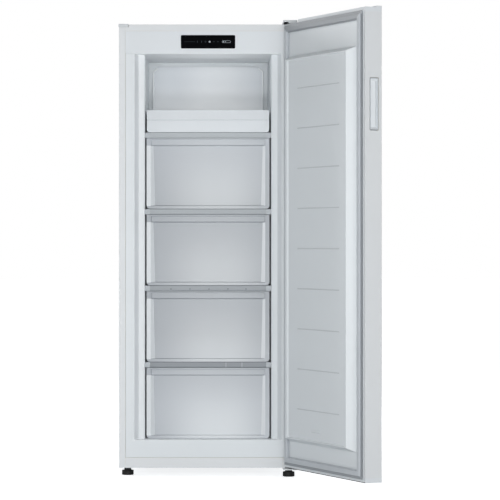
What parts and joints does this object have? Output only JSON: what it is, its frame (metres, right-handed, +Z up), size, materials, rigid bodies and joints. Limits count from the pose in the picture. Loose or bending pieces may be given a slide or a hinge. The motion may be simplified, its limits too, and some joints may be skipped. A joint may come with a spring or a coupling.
{
  "type": "upright freezer",
  "caption": "Tall white upright freezer, its door swung open to the right, with clear-fronted drawers, a top tray, a dark touch display and a foamed cabinet on feet and rollers.",
  "frame": {"origin": "on the floor, under the middle of the cabinet's footprint", "axes": "+Z up, +Y towards the cabinet's back, +X to the right of someone facing the cabinet"},
  "size_m": [0.7837, 1.038, 1.41],
  "materials": {
    "white_steel": "smooth painted",
    "plated_sheet": "zinc-plated sheet",
    "plated_steel": "zinc-plated",
    "white_plastic": "fine matt",
    "liner_plastic": "satin formed sheet",
    "clear_plastic": "frosted clear",
    "black_glass": "polished black",
    "shelf_glass": "clear toughened",
    "foam": "rigid foam",
    "seal": "soft matt",
    "circuit_board": "coated board",
    "copper": "drawn",
    "black_plastic": "fine matt",
    "black_paint": "gloss black",
    "black_rubber": "matt",
    "aluminium": "bare"
  },
  "bodies": {
    "cabinet": {"left_side_panel": "white_steel", "right_side_panel": "white_steel", "top_panel": "white_steel", "corner_cap": "white_plastic", "back_panel": "plated_sheet", "rear_screws": "plated_steel", "foam_insulation": "foam", "inner_liner": "liner_plastic", "kick_plate": "white_steel", "bottom_sheet": "plated_sheet", "machine_cover": "plated_sheet", "power_inlet": "black_plastic", "control_fascia": "white_plastic", "display_window": "black_glass", "control_board": "circuit_board", "glass_shelves": "shelf_glass", "shelf_trims": "white_plastic", "duct_cover": "liner_plastic", "fan_motor": "black_plastic", "evaporator_tube": "aluminium", "evaporator_fins": "aluminium", "defrost_heater": "plated_steel", "temperature_sensor": "white_plastic", "drain_tube": "white_plastic", "compressor_base": "plated_sheet", "roller_axles": "plated_steel", "compressor": "black_paint", "compressor_grommets": "black_rubber", "terminal_cover": "black_plastic", "drip_tray": "black_plastic", "discharge_pipe": "copper", "suction_pipe": "copper", "filter_drier": "copper", "top_hinge_bracket": "plated_steel", "lower_hinge_bracket": "plated_steel", "hinge_pins": "plated_steel", "hinge_screws": "plated_steel", "hinge_cover": "white_plastic"},
    "door": {"door_outer_panel": "white_steel", "door_liner": "liner_plastic", "door_foam": "foam", "door_gasket": "seal", "door_top_cap": "white_plastic", "door_bottom_cap": "white_plastic", "door_handle_insert": "white_plastic", "hinge_bushes": "black_plastic"},
    "tray": {"top_tray": "white_plastic"},
    "drawer_1": {"drawer_1_front": "clear_plastic", "drawer_1_basket": "white_plastic"},
    "drawer_2": {"drawer_2_front": "clear_plastic", "drawer_2_basket": "white_plastic"},
    "drawer_3": {"drawer_3_front": "clear_plastic", "drawer_3_basket": "white_plastic"},
    "drawer_4": {"drawer_4_front": "clear_plastic", "drawer_4_basket": "white_plastic"},
    "fan": {"fan_blade": "black_plastic"},
    "left_foot": {"left_front_foot": "black_plastic"},
    "right_foot": {"right_front_foot": "black_plastic"},
    "left_roller": {"left_rear_roller": "black_plastic"},
    "right_roller": {"right_rear_roller": "black_plastic"}
  },
  "joints": [
    {"name": "door_hinge", "type": "hinge", "parent": "cabinet", "child": "door", "pos_m": [0.26, -0.2825, 0.7], "axis": [0, 0, 1], "range_deg": [-113.1, 6.9]},
    {"name": "tray_slide", "type": "slide", "parent": "cabinet", "child": "tray", "axis": [0, -1, 0], "range_m": [0, 0.2]},
    {"name": "drawer_1_slide", "type": "slide", "parent": "cabinet", "child": "drawer_1", "axis": [0, -1, 0], "range_m": [0, 0.25]},
    {"name": "drawer_2_slide", "type": "slide", "parent": "cabinet", "child": "drawer_2", "axis": [0, -1, 0], "range_m": [0, 0.25]},
    {"name": "drawer_3_slide", "type": "slide", "parent": "cabinet", "child": "drawer_3", "axis": [0, -1, 0], "range_m": [0, 0.25]},
    {"name": "drawer_4_slide", "type": "slide", "parent": "cabinet", "child": "drawer_4", "axis": [0, -1, 0], "range_m": [0, 0.15]},
    {"name": "fan_spin", "type": "hinge", "parent": "cabinet", "child": "fan", "pos_m": [0, 0.16, 0.675], "axis": [0, 1, 0], "continuous": true},
    {"name": "left_foot_turn", "type": "hinge", "parent": "cabinet", "child": "left_foot", "pos_m": [-0.25, -0.2185, 0.01], "axis": [0, 0, 1], "continuous": true},
    {"name": "right_foot_turn", "type": "hinge", "parent": "cabinet", "child": "right_foot", "pos_m": [0.2495, -0.275, 0.01], "axis": [0, 0, 1], "continuous": true},
    {"name": "left_roller_roll", "type": "hinge", "parent": "cabinet", "child": "left_roller", "pos_m": [-0.225, 0.2135, 0.011], "axis": [1, 0, 0], "continuous": true},
    {"name": "right_roller_roll", "type": "hinge", "parent": "cabinet", "child": "right_roller", "pos_m": [0.225, 0.2135, 0.011], "axis": [1, 0, 0], "continuous": true}
  ]
}
